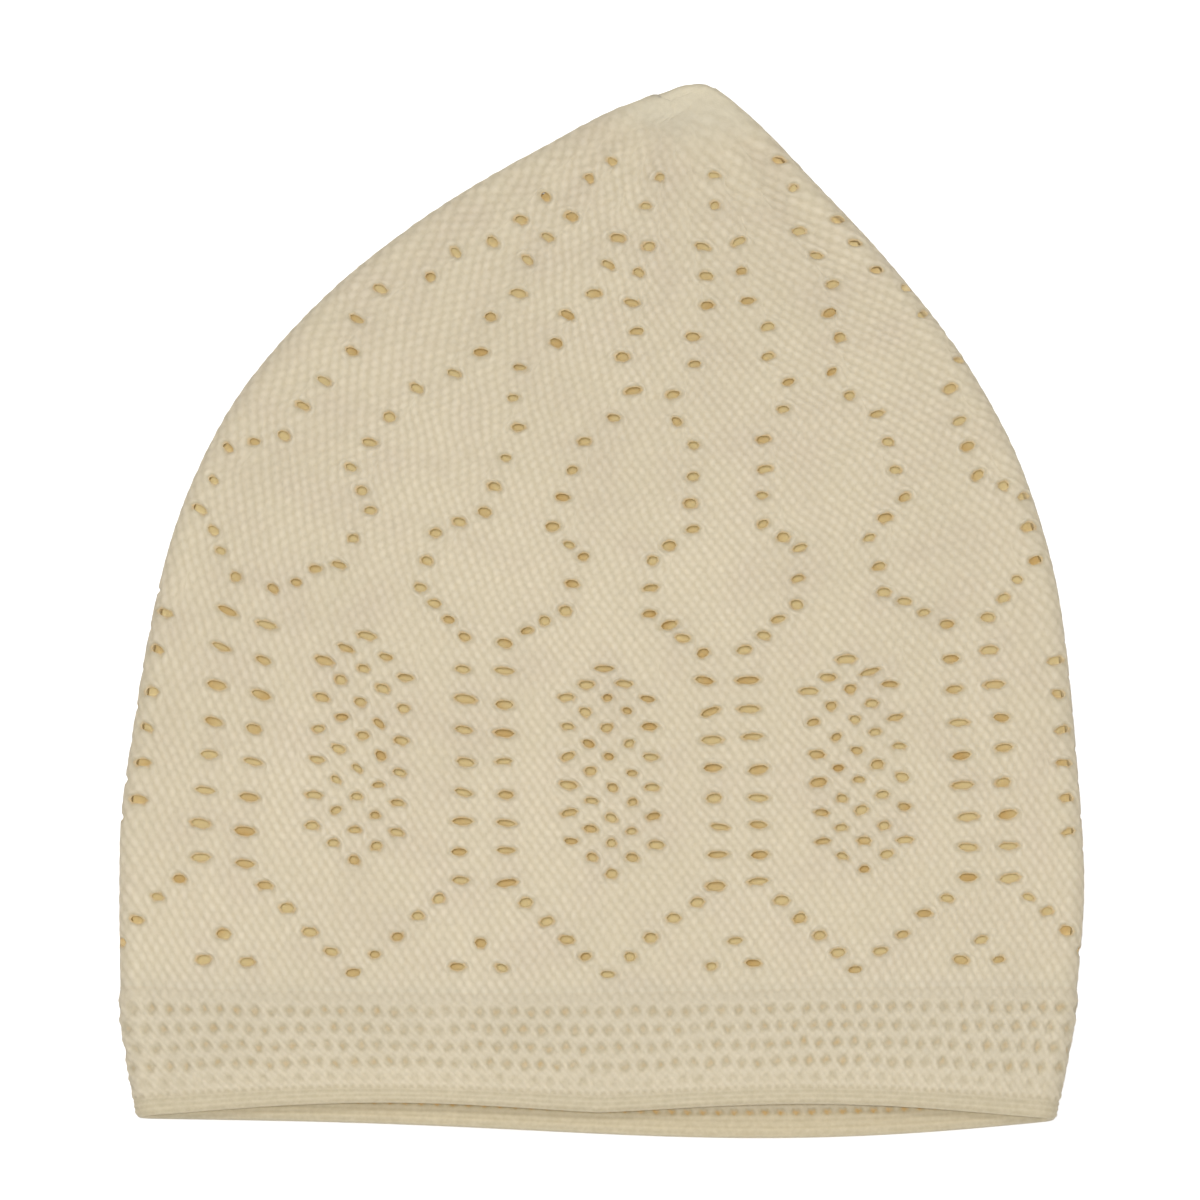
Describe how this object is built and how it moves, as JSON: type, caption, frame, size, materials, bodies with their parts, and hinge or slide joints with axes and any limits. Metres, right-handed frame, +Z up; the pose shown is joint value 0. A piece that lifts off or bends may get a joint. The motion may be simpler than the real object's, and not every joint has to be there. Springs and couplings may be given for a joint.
{
  "type": "knitted openwork kufi",
  "caption": "Brimless knitted openwork cap with a closed peak and a turned hem band, lying folded flat with its mouth a little open.",
  "frame": {"origin": "centre of the folded cap's outline, on the surface it lies on", "axes": "+Z up out of the surface, +Y from the open mouth towards the closed peak, +X across the cap from the left fold to the right fold"},
  "size_m": [0.21, 0.2311, 0.0158],
  "materials": {
    "openwork_knit": "fine matt knitted yarn",
    "band_knit": "matt mesh knit, double thickness"
  },
  "bodies": {
    "root": {"crown_body": "openwork_knit", "hem_band": "band_knit"}
  },
  "joints": []
}
